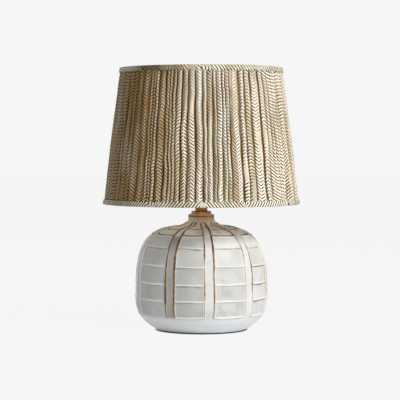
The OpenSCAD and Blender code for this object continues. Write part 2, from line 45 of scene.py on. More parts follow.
# The body has one generator, and the cloth and felt share another
BODY_SEED, CLOTH_SEED = 11, 8
rng = np.random.default_rng(BODY_SEED)


# Node and mesh helpers

def as_color(value):
    """A socket as it is, or three numbers with the alpha that a colour socket wants."""
    return value if isinstance(value, bpy.types.NodeSocket) else (*value, 1.0)


class Graph:
    """The nodes of a new material, or of the given world, with short calls that return output sockets."""

    def __init__(self, name, world=None):
        self.owner = bpy.data.materials.new(name) if world is None else world
        self.owner.use_nodes = True
        self.tree = self.owner.node_tree
        self.tree.nodes.clear()
        self.out = self.node("OutputMaterial" if world is None else "OutputWorld")
        self.coords = self.node("TexCoord").outputs["Object"]

    def node(self, kind, inputs=None, **props):
        node = self.tree.nodes.new("ShaderNode" + kind)
        for key, value in props.items():
            setattr(node, key, value)
        for key, value in (inputs or {}).items():
            self.put(node.inputs[key], value)
        return node

    def put(self, socket, value):
        if isinstance(value, bpy.types.NodeSocket):
            self.tree.links.new(value, socket)
        else:
            socket.default_value = value

    def math(self, operation, *values):
        return self.node("Math", dict(enumerate(values)), operation=operation).outputs[0]

    def plus(self, a, b):
        return self.math("ADD", a, b)

    def minus(self, a, b):
        return self.math("SUBTRACT", a, b)

    def times(self, a, b):
        return self.math("MULTIPLY", a, b)

    def noise(self, scale, detail=2.0, rough=0.5, vector=None):
        vector = self.coords if vector is None else vector
        inputs = {"Vector": vector, "Scale": scale, "Detail": detail, "Roughness": rough}
        return self.node("TexNoise", inputs).outputs["Fac"]

    def stretched_noise(self, vector, scales, detail=1.0, rough=0.5):
        """Noise with its own scale along each axis."""
        vector = self.node("Mapping", {"Vector": vector, "Scale": scales}).outputs[0]
        return self.noise(1.0, detail, rough, vector)

    def attribute(self, name):
        return self.node("Attribute", attribute_name=name).outputs["Fac"]

    def ramp(self, value, low, high):
        """A smooth step from 0 at low to 1 at high."""
        return self.map_range(value, low, high, 0.0, 1.0, interpolation_type="SMOOTHSTEP")

    def span(self, value, low, high):
        """A value from 0 to 1 brought between low and high."""
        return self.map_range(value, 0.0, 1.0, low, high)

    def map_range(self, *values, **props):
        """The value, its range and its new range, in the order of the node's first five inputs."""
        return self.node("MapRange", dict(enumerate(values)), **props).outputs[0]

    def mix(self, factor, a, b, blend="MIX"):
        """Two colours mixed. This node takes colours at its inputs 6 and 7 and gives one at output 2."""
        inputs = {0: factor, 6: as_color(a), 7: as_color(b)}
        return self.node("Mix", inputs, data_type="RGBA", blend_type=blend).outputs[2]

    def lay(self, base, mask, strength, color):
        """The colour laid over the base where the mask is, at the given strength."""
        return self.mix(self.times(mask, strength), base, color)

    def weave(self, u, v, pitch):
        """The height of a plain weave whose threads are a pitch apart."""
        return self.times(self.math("SINE", self.times(u, TAU / pitch)),
                          self.math("SINE", self.times(v, TAU / pitch)))

    def bump(self, height, distance, strength):
        return self.node("Bump", {"Height": height, "Distance": distance, "Strength": strength}).outputs[0]

    def surface(self, color, roughness, normal, **settings):
        """A principled surface. A setting is the same all over it and stays on the shader's own socket."""
        inputs = {"Base Color": as_color(color), "Roughness": roughness, "Normal": normal}
        inputs.update({key.replace("_", " "): value for key, value in settings.items()})
        return self.finish(self.node("BsdfPrincipled", inputs).outputs[0])

    def finish(self, shader):
        self.put(self.out.inputs["Surface"], shader)
        return self.owner


def grid_mesh(name, points, closed_rows=False, uv=None, attributes=None):
    """A mesh from points[row][column], closed round the columns. Its UVs may run past the closing column."""
    rows, columns = points.shape[:2]
    mesh = bpy.data.meshes.new(name)
    last = rows if closed_rows else rows - 1
    k = np.arange(last)[:, None]
    c = np.arange(columns)[None, :]
    up = (k + 1) % rows
    right = (c + 1) % columns
    faces = np.stack([k * columns + c, k * columns + right, up * columns + right, up * columns + c], -1)
    faces = faces.reshape(-1, 4)
    mesh.vertices.add(rows * columns)
    mesh.vertices.foreach_set("co", points.reshape(-1))
    mesh.loops.add(faces.size)
    mesh.loops.foreach_set("vertex_index", faces.reshape(-1))
    mesh.polygons.add(len(faces))
    mesh.polygons.foreach_set("loop_start", np.arange(0, faces.size, 4))
    mesh.polygons.foreach_set("loop_total", np.full(len(faces), 4))
    if uv is not None:
        u, v = uv
        layer = mesh.uv_layers.new(name="cloth")
        k, c, right = np.broadcast_arrays(k, c, right)
        corners = [(u[c], v[k, c]), (u[c + 1], v[k, right]),
                   (u[c + 1], v[k + 1, right]), (u[c], v[k + 1, c])]
        corners = np.stack([np.stack(corner, -1) for corner in corners], 2)
        layer.data.foreach_set("uv", corners.reshape(-1))
    for key, values in (attributes or {}).items():
        mesh.attributes.new(key, "FLOAT", "POINT").data.foreach_set("value", values.reshape(-1))
    mesh.update(calc_edges=True)
    mesh.validate()
    mesh.shade_smooth()
    return mesh


def add_object(name, data):
    obj = bpy.data.objects.new(name, data)
    bpy.context.scene.collection.objects.link(obj)
    return obj


def piece(name, mesh, material, body, slot, *replaced):
    """A visible piece with its material, that rides on a body and stands for CAD nodes, which it hides. Its
    slot is not used.
    """
    obj = add_object(name, mesh)
    mesh.materials.append(material)
    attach(obj, body)
    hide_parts(*replaced)
    return obj


def turned(r, z, turn):
    """Positions at radius r and height z, turned round the axis by turn in radians."""
    return np.stack(np.broadcast_arrays(r * np.cos(turn), r * np.sin(turn), z), -1)


def lathe(outline, turn):
    """An outline of (radius, height) turned round the axis, as rows of positions."""
    r, z = np.array(outline, float).T[:, :, None]
    return turned(r, z, turn)


def wrapped(angle):
    """The same angle between -180 and 180 degrees."""
    return (angle + 180) % 360 - 180


def smoothstep(low, high, x):
    t = np.clip((x - low) / (high - low), 0, 1)
    return t * t * (3 - 2 * t)


def waves(shape, s, count=3, low=0.4, high=2.2):
    """Smooth random functions of s, one for each index of shape, about 1 high."""
    total = np.zeros(shape + (len(s),))
    for _ in range(count):
        turns = rng.uniform(low, high, shape + (1,))
        total += np.cos(TAU * (turns * s + rng.random(shape + (1,))))
    return total / math.sqrt(count)


def path_lengths(points):
    """The distance along a line of points, from 0 at its first point."""
    return np.concatenate([[0], np.cumsum(np.linalg.norm(np.diff(points, axis=0), axis=1))])


# Camera, light and stage

CAMERA_AT, CAMERA_DOWN = (-0.0024, -3.04, 0.353), 2.15
LENS, SENSOR = 148.5, 36.0
BACKDROP, FLOOR_TONE = (0.922, 0.922, 0.922), (0.905, 0.905, 0.905)
AMBIENT, AMBIENT_STRENGTH = (1.0, 0.98, 0.94), 0.24
LIGHT_COLOR, LIGHT_TARGET = (1.0, 0.985, 0.96), Vector((0, 0, 0.25))
FLOOR_HALF, CONTACT = 12.0, 0.0045

camera = add_object("camera", bpy.data.cameras.new("camera"))
camera.data.lens = LENS
camera.data.sensor_width = SENSOR
camera.data.clip_end = 50.0
camera.location = CAMERA_AT
camera.rotation_euler = (math.radians(90 - CAMERA_DOWN), 0, 0)
bpy.context.scene.camera = camera
bpy.context.scene.view_settings.view_transform = "Standard"


def area_light(name, azimuth, elevation, distance, size, energy, mirrored):
    """A square lamp aimed at the object. Azimuth is measured to the right of the front."""
    obj = add_object(name, bpy.data.lights.new(name, "AREA"))
    obj.data.size = size
    obj.data.energy = energy
    obj.data.color = LIGHT_COLOR
    a, e = math.radians(azimuth), math.radians(elevation)
    spot = Vector((math.sin(a) * math.cos(e), -math.cos(a) * math.cos(e), math.sin(e))) * distance
    obj.location = LIGHT_TARGET + spot
    obj.rotation_euler = (-spot).to_track_quat("-Z", "Y").to_euler()
    obj.visible_glossy = mirrored


area_light("key", 45, 34, distance=2.6, size=0.5, energy=42, mirrored=True)
area_light("front", 31, 14, distance=3.0, size=1.8, energy=33, mirrored=False)
area_light("rim", -138, 20, distance=2.6, size=0.8, energy=26, mirrored=False)


def shown_or_lit(g, shown, lit):
    """One shader for camera rays and for what metal and glass show, another for the light on the object."""
    path = g.node("LightPath")
    straight = g.math("MAXIMUM", path.outputs["Is Camera Ray"], path.outputs["Is Glossy Ray"])
    straight = g.math("MAXIMUM", straight, path.outputs["Is Transmission Ray"])
    return g.node("MixShader", {0: straight, 1: lit, 2: shown}).outputs[0]


def make_world():
    """A pale backdrop where it is seen, and a dimmer and warmer light on the object."""
    world = bpy.data.worlds.new("world")
    bpy.context.scene.world = world
    g = Graph("world", world)
    shown = g.node("Background", {"Color": as_color(BACKDROP)}).outputs[0]
    lit = g.node("Background", {"Color": as_color(AMBIENT), "Strength": AMBIENT_STRENGTH}).outputs[0]
    g.finish(shown_or_lit(g, shown, lit))


def make_floor():
    """A pale floor that shows at the backdrop's level and keeps the shadow where the lamp stands."""
    g = Graph("floor")
    near = g.node("AmbientOcclusion", {"Distance": CONTACT}, samples=12).outputs["AO"]
    shade = g.mix(g.ramp(near, 0.10, 0.80), (0.05, 0.045, 0.04), FLOOR_TONE)
    glow = g.node("Emission", {"Color": shade}).outputs[0]
    faint = g.node("BsdfDiffuse", {"Color": as_color((0.016, 0.016, 0.016))}).outputs[0]
    shown = g.node("AddShader", {0: glow, 1: faint}).outputs[0]
    lit = g.node("BsdfDiffuse", {"Color": as_color((0.80, 0.81, 0.83))}).outputs[0]
    material = g.finish(shown_or_lit(g, shown, lit))
    mesh = bpy.data.meshes.new("floor")
    corners = [(x * FLOOR_HALF, y * FLOOR_HALF, 0) for x, y in ((-1, -1), (1, -1), (1, 1), (-1, 1))]
    mesh.from_pydata(corners, [], [(0, 1, 2, 3)])
    mesh.materials.append(material)
    floor = add_object("floor", mesh)


make_world()
make_floor()


# Ceramic body: the outside, whose lower and upper parts follow two powers, and the openings inside

BODY_R, FOOT_R, NECK_R = 121.5, 83.0, 24.0
FELT_T, BELLY_Z, SHOULDER_Z, RIM_Z = 2.0, 61.0, 191.5, 213.2
CORE_R = BODY_R * 0.115
LOW_POWER, HIGH_POWER = 2.8, 3.3
FILLET_W, FILLET_H = 26.0, 14.0
WALL, NECK_HOLE_R, FLOOR_HOLE_R = 7.0, 15.0, 30.0
RECESS_R, RECESS_Z, FLOOR_Z = 75.0, 16.0, 23.0
SHARP_EDGE = 48

# The grid's rows: apart on the outline, on plain wall, by a rib and at the loops' tips
OUTLINE_STEP, ROW_STEP, RIB_STEP, TIP_STEP = 0.25, 3.6, 0.5, 1.1

# The cord hole's two bores, each with its radius, start and end
BUSH_Z, BORE_SIDES = 9.0, 48
BORES = ((6.25, 60, 76), (4.65, 60, 130))

# Loops are counted to the right from the one at the front. Each is two strands that close at its tip, and
# half the gap between them goes with the radius.
LOOP_COUNT, FIRST_LOOP, LOOP_SHIFT, LOOP_PHASE = 10, 7, 2.5, 124
LOOP_HALF, LOOP_TIP_R = 4.0, 26.5
GAP_RADII = (LOOP_TIP_R, 27.3, 29.5, 45, 70, 92, 110, BODY_R)
HALF_GAPS = (0, 2.8, 4.2, 5.2, 6.0, 7.3, 7.7, 8.5)
STRAND_W, STRAND_H = 1.35, 1.35
LIP_AT, LIP_W, LIP_H = 2.5, 0.85, 0.6

# How far a strand wanders to the side, slowly, quickly and over its length, in degrees, and how uneven its
# width, height and colour are
SLOW_WANDER, QUICK_WANDER, DRIFT = 0.20, 0.10, 0.25
WIDTH_WAVE, HEIGHT_WAVE, COLOR_WAVE = 0.20, 0.12, 0.22

# Ribs cross the panels between the loops, from the lowest to the closed one round the shoulder
LOWEST_RIB, CLOSED_RIB = 32.0, 191.1
RIB_SHARES = (0, 0.185, 0.371, 0.575, 0.781, 0.901, 0.974)
TOP_RIB = len(RIB_SHARES) - 1
RIB_H, TOP_RIB_H = 1.55, 0.8
RIB_ABOVE, RIB_BELOW = 2.0, 1.1
TOP_ROW_R, UPPER_Z = 50, 150

# A rib tilts, shifts and curves a little, and turns up beside a loop. Above it the wall is hollowed and its
# bulge past a straight line from rib to rib is partly taken away. The glaze's tone varies by row.
RIB_TILT, RIB_SHIFT, RIB_CURVE, RIB_TURN_UP, RIB_UNEVEN = 0.35, 0.25, 0.35, 1.5, 0.1
HOLLOWED, FLATTENED = 0.35, 0.6
TONE_SPREAD, UPPER_SPREAD = 0.03, 1.4

# Brown glaze that gathers by a rib, with painted shadow: the dark line by each rib is partly glaze pooled
# there and partly the rib's shadow. Its distance up from the rib, strength and half width, then the rows
# where they differ, and the panels and rows where it is stronger
POOL_AND_SHADE = (-1.9, 0.8, 1.1)
ROW_POOLS_AND_SHADES = {4: (-1.9, 1.2, 1.1), 5: (3.5, 2.0, 2.9), 6: (0.8, 1.8, 2.2)}
STRONG_POOLS_AND_SHADES = {(1, 1): 1.5, (1, 2): 1.5, (1, 3): 1.5, (9, 2): 1.15, (9, 3): 1.15}

# How brown each loop's strands are. Painted shade on each loop: below 1 its glaze is darker, and less pale
# inside, where the body is in shade. Painted light and shade on the panels: how much paler or darker than
# the rest the glaze is made in each panel above the rib of that number. Panels are counted as the loops to
# their left are.
LOOP_BROWN = (0.80, 0.50, 0.40, 0.75, 0.9, 0.6, 0.85, 0.7, 0.42, 1.0)
LOOP_PAINTED_SHADE = (0.93, 0.95, 1.0, 1.0, 1.0, 1.0, 1.0, 1.0, 0.95, 0.67)
ROW_PAINTED_LIGHT = {
    0: (-0.13, -0.07, 0.0, 0.0, 0.0, 0.0, 0.0, 0.0, -0.08, -0.20),
    3: (-0.02, -0.05, -0.05, -0.05, -0.05, -0.05, -0.05, -0.05, -0.05, 0.05),
    4: (0.38, 0.25, 0.15, 0.15, 0.15, 0.15, 0.15, 0.15, 0.22, 0.12),
}
FADED_STRAND, FADED_Z, FADED_SHARE = (0, -1), (130, 158), 0.48

# The hand-thrown form's departure from round: height, count round the body, phase, and its turn up the body
THROWN = ((0.45, 2, 0.7, 0.0), (0.25, 3, 0.0, 4 * TAU / 5), (0.18, 5, 0.0, 9.0))


def lower_r(z, inset=0.0):
    """The radius at height z below the belly, or that of a wall inset from it."""
    return FOOT_R - inset + (BODY_R - FOOT_R) * (1 - ((BELLY_Z - z) / (BELLY_Z - FELT_T)) ** LOW_POWER)


def upper_point(a, inset=0.0, core=CORE_R):
    """The radius and height above the belly. Angle a is 0 at the belly and a quarter turn at the top."""
    return (core + (BODY_R - inset - core) * np.cos(a) ** (2 / HIGH_POWER),
            BELLY_Z + (SHOULDER_Z - BELLY_Z - inset) * np.sin(a) ** (2 / HIGH_POWER))


def body_outline():
    """The outside from the foot to the rim, as points one step apart with their outward normals."""
    z = np.linspace(FELT_T, BELLY_Z, 600)
    parts = [np.stack([lower_r(z), z], -1)]
    neck_a = math.acos(((NECK_R + FILLET_W - CORE_R) / (BODY_R - CORE_R)) ** (HIGH_POWER / 2))
    parts.append(np.stack(upper_point(np.linspace(0, neck_a, 1500)), -1)[1:])
    foot_z = parts[-1][-1][1]
    a = np.linspace(0, math.pi / 2, 100)[1:]
    parts.append(np.stack([NECK_R + FILLET_W * (1 - np.sin(a)), foot_z + FILLET_H * (1 - np.cos(a))], -1))
    z = np.linspace(parts[-1][-1][1], RIM_Z - 2, 40)[1:]
    parts.append(np.stack([NECK_R * np.ones_like(z), z], -1))
    line = np.concatenate(parts)
    run = path_lengths(line)
    s = np.arange(0, run[-1], OUTLINE_STEP)
    line = np.stack([np.interp(s, run, line[:, 0]), np.interp(s, run, line[:, 1])], -1)
    step = np.gradient(line, axis=0)
    for _ in range(3):
        step = np.concatenate([step[:1], (step[:-2] + 2 * step[1:-1] + step[2:]) / 4, step[-1:]])
    step /= np.linalg.norm(step, axis=1)[:, None]
    return s, line, np.stack([step[:, 1], -step[:, 0]], -1)


def body_rows(end, ribs):
    """Distances up the outline, closer at the ribs and at the loops' tips."""
    coarse = np.arange(0, end, ROW_STEP)
    dense = np.concatenate([rib + np.arange(-3.0, 5.6, RIB_STEP) for rib in ribs])
    keep = [at for at in coarse if np.min(np.abs(dense - at)) > 1.6]
    tips = np.arange(end - 50, end - 12, TIP_STEP)
    rows = np.unique(np.round(np.concatenate([[0, 0.5, 1.2, end], keep, dense, tips]), 3))
    return rows[np.concatenate([[True], np.diff(rows) > 0.3])]


def body_columns(places, nexts):
    """Angles round the body, closest at a loop's strands and widest over the panels."""
    fine = np.array([-2.9, -2.1, -1.5, -1.2, -0.9, -0.6, -0.3, 0.0, 0.3, 0.6, 0.9, 1.2])
    inner = np.linspace(-LOOP_HALF + 1.6, LOOP_HALF - 1.6, 6)
    angles = []
    for place, after in zip(places, nexts):
        panel = np.linspace(place + LOOP_HALF + 4.4, after - LOOP_HALF - 4.4, 11)
        angles += [place - LOOP_HALF + fine, place + inner, place + LOOP_HALF - fine[::-1], panel]
    return np.concatenate(angles)


class Skin:
    """The outside of the body as a grid of rows up its outline and columns round the axis."""

    def __init__(self):
        self.s, self.line, normal = body_outline()
        rib_z = [LOWEST_RIB + (CLOSED_RIB - LOWEST_RIB) * share for share in RIB_SHARES]
        self.ribs = [float(np.interp(z, self.line[:, 1], self.s)) for z in rib_z]
        shifts = [LOOP_SHIFT * math.sin(math.radians(LOOP_PHASE * i)) for i in range(LOOP_COUNT)]
        self.places = [FIRST_LOOP + 360 * i / LOOP_COUNT + shift for i, shift in enumerate(shifts)]
        self.nexts = self.places[1:] + [self.places[0] + 360]
        self.rows = body_rows(self.s[-1], self.ribs)
        self.around = body_columns(self.places, self.nexts)[None, :]
        self.r, self.z = self.on_rows(self.line)
        self.out_r, self.out_z = self.on_rows(normal)
        self.share = (self.rows / self.s[-1])[:, None]
        self.spread = np.degrees(np.interp(self.r, GAP_RADII, HALF_GAPS) / self.r)
        shape = (len(self.rows), self.around.size)
        self.strands, self.lips, self.rib, self.pillow = (np.zeros(shape) for _ in range(4))
        self.brown, self.in_loop, self.pools_and_shades = (np.zeros(shape) for _ in range(3))
        self.tone = np.ones(shape)

    def on_rows(self, values):
        return [np.interp(self.rows, self.s, column)[:, None] for column in values.T]

    def up(self, count, low, high):
        """A random wave up the body, the same all round."""
        return waves((), self.share[:, 0], count, low, high)[:, None]

    def add_loops(self):
        """Two raised strands a loop, with a lip outside each, brown glaze on them, paler glaze inside and
        painted shade on the loops in shade.
        """
        ends = smoothstep(LOOP_TIP_R - 1.5, LOOP_TIP_R + 0.5, self.r)
        ends = ends * smoothstep(LOWEST_RIB - 2.5, LOWEST_RIB + 1.5, self.z)
        for i, place in enumerate(self.places):
            for side in (-1, 1):
                wander = SLOW_WANDER * self.up(3, 1.0, 4.5) + QUICK_WANDER * self.up(3, 6, 12)
                drift = rng.normal(0, DRIFT)
                track = place + side * self.spread + wander + drift * (self.share - 0.5)
                mm = np.radians(wrapped(self.around - track)) * self.r
                width = STRAND_W + WIDTH_WAVE * self.up(2, 1.5, 5)
                tall = STRAND_H * (1 + HEIGHT_WAVE * self.up(2, 1, 6))
                self.strands = np.maximum(self.strands, tall * np.exp(-(mm / width) ** 2) * ends)
                stain = np.exp(-((mm + 0.25) / (width + 0.75)) ** 2) * ends
                fresh = 1 + COLOR_WAVE * self.up(2, 0.8, 2.5)
                if (i, side) == FADED_STRAND:
                    stain = stain * (FADED_SHARE + (1 - FADED_SHARE) * smoothstep(*FADED_Z, self.z))
                self.brown = np.maximum(self.brown, stain * np.clip(LOOP_BROWN[i] * fresh, 0, 1.1))
                self.lips = np.maximum(self.lips, np.exp(-((side * mm - LIP_AT) / LIP_W) ** 2) * ends)
            off = wrapped(self.around - place)
            band = 1 - smoothstep(self.spread - 0.8, self.spread + 0.4, np.abs(off))
            pale = min(1, max(0, 3 * (LOOP_PAINTED_SHADE[i] - 0.7)))
            past_tip = smoothstep(LOOP_TIP_R + 2, LOOP_TIP_R + 16, self.r)
            self.in_loop = np.maximum(self.in_loop, pale * band * past_tip)
            self.tone += band * ends * (LOOP_PAINTED_SHADE[i] - 1)

    def between_ribs(self):
        """How far the outline stands out from the chord between two ribs, and an arch of height 1 there."""
        bulge = np.zeros_like(self.r)
        arch = np.zeros_like(self.r)
        upper = (self.line[:, 1] > UPPER_Z) & (self.line[:, 0] > LOOP_TIP_R - 1)
        top = float(np.interp(-TOP_ROW_R, -self.line[upper, 0], self.s[upper]))
        ends = self.ribs + [top]
        for low, high in zip(ends, ends[1:]):
            a = np.array([np.interp(low, self.s, column) for column in self.line.T])
            b = np.array([np.interp(high, self.s, column) for column in self.line.T])
            chord = (b - a) / np.linalg.norm(b - a)
            inside = (self.rows >= low) & (self.rows <= high)
            away = (self.r - a[0]) * chord[1] - (self.z - a[1]) * chord[0]
            q = (self.rows[inside, None] - low) / (high - low)
            bulge[inside] = away[inside]
            arch[inside] = 4 * q * (1 - q)
        return bulge, arch

    def add_ribs(self):
        """A rib across every panel at each height, glaze gathered by it with painted shadow, painted light
        and shade on each panel's glaze, and a hollowed row above it.
        """
        bulge, arch = self.between_ribs()
        for i, (place, after) in enumerate(zip(self.places, self.nexts)):
            half = (after - place) / 2 - self.spread
            off = wrapped(self.around - (place + after) / 2)
            inside = 1 - smoothstep(half - 0.6, half + 0.2, np.abs(off))
            edge = smoothstep(half - 3.2, half, np.abs(off))
            for k, rib in enumerate(self.ribs):
                tilt = rng.normal(0, RIB_TILT) * off / half + rng.normal(0, RIB_SHIFT)
                curve = RIB_CURVE * waves((), (off[0] + 20) / 40, 2, 0.6, 1.6)[None, :]
                mm = self.rows[:, None] - (rib + RIB_TURN_UP * edge ** 2 + tilt + curve)
                tall = (TOP_RIB_H if k == TOP_RIB else RIB_H) * (1 + RIB_UNEVEN * rng.normal())
                profile = np.exp(-(mm / np.where(mm > 0, RIB_ABOVE, RIB_BELOW)) ** 2)
                self.rib = np.maximum(self.rib, tall * profile * inside)
                pool_and_shade_at, pool_and_shade, pool_and_shade_half = ROW_POOLS_AND_SHADES.get(k, POOL_AND_SHADE)
                pool_and_shade = STRONG_POOLS_AND_SHADES.get((i, k), pool_and_shade)
                pool_and_shade = pool_and_shade * np.exp(-((mm - pool_and_shade_at) / pool_and_shade_half) ** 4) * inside
                self.pools_and_shades = np.maximum(self.pools_and_shades, pool_and_shade)
                cell = (self.rows[:, None] > rib) * inside
                self.tone += cell * rng.normal(0, TONE_SPREAD) * (1 if k == 0 else UPPER_SPREAD)
                # Painted light and shade on this panel's glaze above the rib
                if k in ROW_PAINTED_LIGHT:
                    self.tone += cell * ROW_PAINTED_LIGHT[k][i]
            across = np.clip(1 - (np.abs(off) / half) ** 4, 0, 1) * inside
            self.pillow -= (HOLLOWED * arch + FLATTENED * bulge) * across

    def thrown(self):
        """Slow waves round the body that fade out at the foot and the neck."""
        theta = np.radians(self.around)
        total = sum(size * np.cos(count * theta + phase + turn * self.share)
                    for size, count, phase, turn in THROWN)
        return total * smoothstep(0, 0.12, self.share) * (1 - smoothstep(0.8, 0.92, self.share))


def body_inside():
    """The rim, the hollow inside, the opening in the floor, the recess and the foot ring, as an outline."""
    rim = [(NECK_R - 0.25, RIM_Z - 1.1), (NECK_R - 0.9, RIM_Z - 0.35), (NECK_R - 2, RIM_Z),
           (NECK_HOLE_R + 0.6, RIM_Z), (NECK_HOLE_R, RIM_Z - 0.6)]
    top_a = math.acos(0.02)
    wall = [upper_point(top_a * (1 - t), WALL, NECK_HOLE_R) for t in np.linspace(0, 1, 12)]
    low_wall = [(lower_r(z, WALL), z) for z in np.linspace(BELLY_Z, FLOOR_Z, 6)[1:]]
    under = [(FLOOR_HOLE_R, FLOOR_Z), (FLOOR_HOLE_R, RECESS_Z), (RECESS_R, RECESS_Z),
             (RECESS_R, FELT_T + 0.4), (RECESS_R + 0.4, FELT_T), (FOOT_R - 0.8, FELT_T)]
    return rim + wall + low_wall + under


def make_body():
    """The whole body as one closed mesh: its skin, rim, inside and foot."""
    skin = Skin()
    skin.add_loops()
    skin.add_ribs()
    lift = np.maximum(np.maximum(skin.strands, skin.rib), LIP_H * skin.lips) + skin.pillow + skin.thrown()
    turn = np.radians(skin.around - 90)
    outer = turned(skin.r + skin.out_r * lift, skin.z + skin.out_z * lift, turn)
    inner = lathe(body_inside(), turn[0])
    data = {"brown": skin.brown, "rib": np.maximum(skin.rib, skin.lips), "below": skin.pools_and_shades,
            "in_loop": skin.in_loop, "tone": skin.tone}
    blank = np.zeros(inner.shape[:2])
    data = {key: np.concatenate([value, blank]) for key, value in data.items()}
    points = np.concatenate([outer, inner]) * MM
    mesh = grid_mesh("ceramic_body_glazed", points, closed_rows=True, attributes=data)
    mesh.set_sharp_from_angle(angle=math.radians(SHARP_EDGE))
    return mesh


def glaze():
    """White glaze that breaks brown on the ridges and gathers by the ribs, with painted light, shade and
    reflection.
    """
    g = Graph("glaze")
    broad = g.noise(9.0, 3, 0.55)
    cloudy = g.noise(44.0, 4, 0.6)
    place = g.node("SeparateXYZ", {0: g.coords})
    across, height = place.outputs[0], place.outputs[2]
    color = g.mix(g.ramp(broad, 0.35, 0.65), (0.58, 0.585, 0.565), (0.71, 0.715, 0.71))
    color = g.lay(color, g.ramp(cloudy, 0.44, 0.66), 0.55, (0.53, 0.54, 0.50))
    # Painted light: a paler, bluer band round the foot stands for light thrown up from the floor
    foot = g.minus(1.0, g.ramp(height, 0.025, 0.037))
    color = g.lay(color, foot, 0.8, (0.88, 0.91, 0.94))
    # The tone is the glaze's random tone with painted light and shade laid on each loop and panel
    color = g.mix(1.0, color, g.attribute("tone"), "MULTIPLY")
    # Painted shade and reflected light: above rib 5 the shoulder is tinted warm and greyer for the
    # lampshade's shadow and the light its underside throws back, darker in patches from the front to the
    # right
    shoulder = g.ramp(height, 0.1752, 0.1775)
    shoulder_shade_patches = g.times(g.ramp(g.noise(45.0, 3, 0.6), 0.44, 0.60), g.ramp(across, -0.045, 0.020))
    warm_shade = g.mix(shoulder_shade_patches, (1.0, 0.93, 0.81), (0.64, 0.55, 0.42))
    color = g.lay(color, shoulder, 0.8, warm_shade)
    color = g.lay(color, g.attribute("in_loop"), 0.5, (0.80, 0.80, 0.82))
    # Whiter glaze on the rib crests and lips, partly a painted highlight where they catch the light
    color = g.lay(color, g.ramp(g.attribute("rib"), 0.4, 1.0), 0.65, (0.86, 0.86, 0.84))
    patchy = g.ramp(g.noise(60.0, 2, 0.5), 0.30, 0.62)
    # Painted shadow by each rib, mixed with the glaze pooled there: the glaze darkens along that line in
    # patches
    gathered = g.attribute("below")
    patchy = g.math("MAXIMUM", patchy, g.ramp(gathered, 0.9, 1.4))
    pool_and_shade = g.times(g.ramp(gathered, 0.35, 1.5), patchy)
    pool_and_shade_color = g.mix(g.ramp(height, 0.181, 0.183), (0.075, 0.070, 0.045), (0.13, 0.065, 0.030))
    color = g.lay(color, pool_and_shade, 0.92, pool_and_shade_color)
    wear = g.noise(75.0, 3, 0.6)
    less_low = g.plus(0.6, g.times(g.ramp(height, 0.036, 0.080), 0.4))
    crest = g.plus(g.times(g.attribute("brown"), less_low), g.times(wear, 0.5))
    color = g.lay(color, g.ramp(crest, 0.46, 0.66), 0.75, (0.56, 0.40, 0.25))
    broken = g.ramp(crest, 0.62, 0.86)
    ridge = g.mix(g.ramp(g.noise(85.0, 2), 0.38, 0.58), (0.30, 0.150, 0.062), (0.095, 0.050, 0.023))
    color = g.mix(broken, color, ridge)
    # Painted reflection: the neck is tinted warm for the brass and lampshade it reflects, paler on the left
    # and darker from the front to the right
    neck = g.ramp(height, 0.196, 0.205)
    neck_reflection = g.mix(g.ramp(across, -0.019, -0.005), (0.80, 0.61, 0.34), (0.54, 0.31, 0.13))
    color = g.lay(color, neck, 0.85, neck_reflection)
    under_rim = g.times(g.ramp(height, 0.2070, 0.2090), g.minus(1.0, g.ramp(height, 0.2104, 0.2118)))
    color = g.lay(color, under_rim, g.ramp(cloudy, 0.2, 0.5), (0.24, 0.095, 0.028))
    color = g.lay(color, g.ramp(height, 0.2114, 0.2126), 0.8, (0.80, 0.66, 0.50))
    rough = g.plus(g.span(g.noise(120.0, 2), 0.34, 0.42), g.times(broken, 0.2))
    ripple = g.plus(g.noise(55.0, 3, 0.5), g.times(g.noise(260.0, 2), 0.25))
    return g.surface(color, rough, g.bump(ripple, 0.0007, 0.35), Specular_IOR_Level=0.32)


def cut_cord_hole(obj):
    """The stepped bore at the back of the foot, from the recess to the outside."""
    turn = np.linspace(0, TAU, BORE_SIDES, endpoint=False)
    near, far = np.arange(BORE_SIDES), np.arange(BORE_SIDES) + BORE_SIDES
    sides = np.stack([near, np.roll(near, -1), np.roll(far, -1), far], -1).tolist()
    caps = [near[::-1].tolist(), far.tolist()]
    for radius, start, end in BORES:
        ring = np.stack([radius * np.cos(turn), np.zeros_like(turn), BUSH_Z + radius * np.sin(turn)], -1)
        points = np.concatenate([ring + (0, start, 0), ring + (0, end, 0)]) * MM
        mesh = bpy.data.meshes.new("bore")
        mesh.from_pydata(points.tolist(), [], sides + caps)
        bore = add_object("bore", mesh)
        cut = obj.modifiers.new("bore", "BOOLEAN")
        cut.operation = "DIFFERENCE"
        cut.object = bore
        cut.solver = "EXACT"
        bpy.context.view_layer.objects.active = obj
        with bpy.context.temp_override(object=obj, active_object=obj):
            bpy.ops.object.modifier_apply(modifier=cut.name)
        bpy.data.objects.remove(bore)


body = piece("ceramic_body_glazed", make_body(), glaze(), "base", "glaze", "ceramic_body")
cut_cord_hole(body)


# Shade cloth. Columns start at the back and run round by the left, so the front is half way round.

SHADE_BOTTOM_R, SHADE_TOP_R = 178.3, 149.5
SHADE_Z, SHADE_H, BINDING_H = 232.0, 250.0, 9.0
COVER_LOW, COVER_HIGH, BULGE = 233.4, 480.6, 1.5
FOLDS, FOLD_COLUMNS, FOLD_ROWS = 90, 14, 64
BACK = math.pi / 2

# Folds, in shares of their mean width: how uneven they are, with limits, and how each wanders to the side as
# it rises, in waves of a size, a count and a range of turns. Neighbours wander partly together.
FOLD_UNEVEN, WIDTH_LIMITS, LEAST_SPAN = 0.34, (0.5, 2.1), 0.45
FOLD_WANDER = ((0.10, 2, 0.2, 0.9), (0.06, 3, 1.5, 4.0), (0.035, 3, 5.0, 10.0))
TOGETHER, LEAN = 0.6, 0.16

